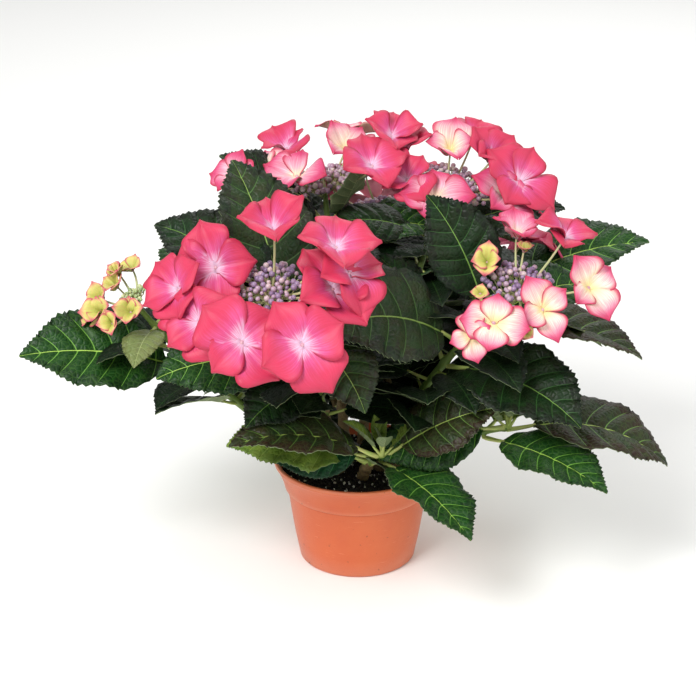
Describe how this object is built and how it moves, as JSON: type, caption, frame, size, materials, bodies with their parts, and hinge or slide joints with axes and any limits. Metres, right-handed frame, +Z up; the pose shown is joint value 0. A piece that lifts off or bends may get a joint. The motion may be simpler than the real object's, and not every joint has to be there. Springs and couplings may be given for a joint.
{
  "type": "potted hydrangea shrub",
  "caption": "Low bushy lacecap hydrangea in a round plastic pot, with flat pink flower heads over large toothed leaves.",
  "frame": {"origin": "centre of the pot's flat underside", "axes": "+Z up, -Y towards the front, where the fullest flower head leans, +X to the right of the front view"},
  "size_m": [0.4832, 0.3843, 0.3275],
  "materials": {
    "pot": "moulded terracotta-coloured plastic, satin",
    "soil": "damp potting compost with white perlite grains",
    "stem": "green to light brown young wood with small pale lenticels",
    "leaf": "dark green leaf blades with pale raised veins, slight waxy shine",
    "flower": "soft matt pink sepals, paler at the middle"
  },
  "bodies": {
    "root": {"flowers_back": "flower", "flowers_back_left": "flower", "flowers_back_right": "flower", "flowers_front_left": "flower", "flowers_left": "flower", "flowers_right": "flower", "flowers_right_rear": "flower", "leaves_back_left_low": "leaf", "leaves_back_left_middle": "leaf", "leaves_back_left_upper": "leaf", "leaves_back_low": "leaf", "leaves_back_middle": "leaf", "leaves_back_right_low": "leaf", "leaves_back_right_upper": "leaf", "leaves_back_upper": "leaf", "leaves_front_left_low": "leaf", "leaves_front_left_middle": "leaf", "leaves_front_left_side": "leaf", "leaves_front_left_upper": "leaf", "leaves_left_low": "leaf", "leaves_left_rear_low": "leaf", "leaves_left_rear_middle": "leaf", "leaves_left_rear_tip": "leaf", "leaves_left_upper": "leaf", "leaves_low_back_middle": "leaf", "leaves_low_back_tip": "leaf", "leaves_low_front_low": "leaf", "leaves_low_front_middle": "leaf", "leaves_low_front_tip": "leaf", "leaves_low_right_middle": "leaf", "leaves_low_right_tip": "leaf", "leaves_right_low": "leaf", "leaves_right_middle": "leaf", "leaves_right_rear_low": "leaf", "leaves_right_rear_upper": "leaf", "leaves_right_upper": "leaf", "pot": "pot", "soil": "soil", "stem_back": "stem", "stem_back_left": "stem", "stem_back_right": "stem", "stem_front_left": "stem", "stem_left": "stem", "stem_left_rear": "stem", "stem_low_back": "stem", "stem_low_front": "stem", "stem_low_right": "stem", "stem_right": "stem", "stem_right_rear": "stem"}
  },
  "joints": []
}
